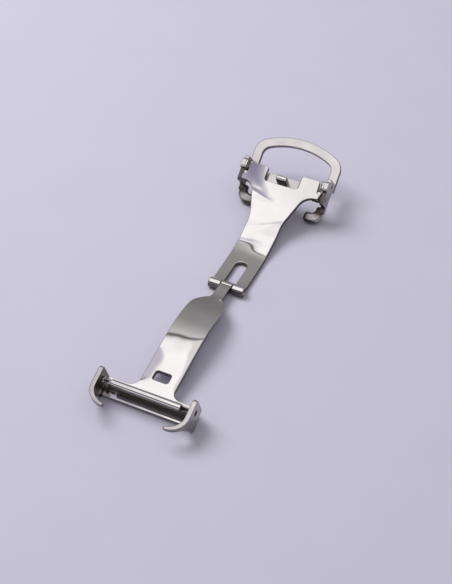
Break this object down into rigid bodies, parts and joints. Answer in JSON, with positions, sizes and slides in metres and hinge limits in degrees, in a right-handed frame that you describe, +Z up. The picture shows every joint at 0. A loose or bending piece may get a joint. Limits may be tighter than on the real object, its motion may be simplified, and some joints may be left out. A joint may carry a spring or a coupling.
{
  "type": "watch strap buckle",
  "caption": "Single-fold deployant clasp for a leather watch strap: two nesting curved steel blades, a sprung bar between horned ears, and a tilting loop frame with catch stud and strap peg.",
  "frame": {"origin": "on the table, under the middle of the open clasp's box", "axes": "+Z up, +Y along the clasp from the spring bar end to the loop end, +X across the strap"},
  "size_m": [0.02, 0.0814, 0.0108],
  "materials": {
    "polished_steel": "mirror polished stainless steel",
    "satin_steel": "satin stainless steel",
    "turned_steel": "fine turned stainless steel"
  },
  "bodies": {
    "upper": {"upper_blade": "polished_steel", "hinge_pin": "turned_steel"},
    "lower": {"lower_blade": "polished_steel", "ear_left": "satin_steel", "ear_right": "satin_steel"},
    "bar": {"bar_tube": "polished_steel", "bar_spring": "turned_steel"},
    "tip_left": {"bar_tip_left": "turned_steel"},
    "tip_right": {"bar_tip_right": "turned_steel"},
    "frame": {"side_plate_left": "satin_steel", "side_plate_right": "satin_steel", "buckle_loop": "satin_steel", "cross_plate": "satin_steel", "catch_plate": "satin_steel", "catch_stud": "polished_steel", "strap_peg": "polished_steel", "pivot_pin_left": "turned_steel", "pivot_pin_right": "turned_steel", "rivet_left": "turned_steel", "rivet_right": "turned_steel"}
  },
  "joints": [
    {"name": "main_hinge", "type": "hinge", "parent": "upper", "child": "lower", "pos_m": [0, 0.00001, 0.0011], "axis": [-1, 0, 0], "range_deg": [0, 161.5]},
    {"name": "frame_pivot", "type": "hinge", "parent": "upper", "child": "frame", "pos_m": [0, 0.02787, 0.00639], "axis": [-1, 0, 0], "range_deg": [0, 75]},
    {"name": "bar_spin", "type": "hinge", "parent": "lower", "child": "bar", "pos_m": [0, -0.03501, 0.00432], "axis": [1, 0, 0], "continuous": true},
    {"name": "tip_left_slide", "type": "slide", "parent": "bar", "child": "tip_left", "axis": [1, 0, 0], "range_m": [0, 0.0011], "stiffness_N_per_m": 1000, "springref_m": -0.001, "deforming": ["bar_spring"]},
    {"name": "tip_right_slide", "type": "slide", "parent": "bar", "child": "tip_right", "axis": [-1, 0, 0], "range_m": [0, 0.0011], "stiffness_N_per_m": 1000, "springref_m": -0.001, "deforming": ["bar_spring"]}
  ]
}
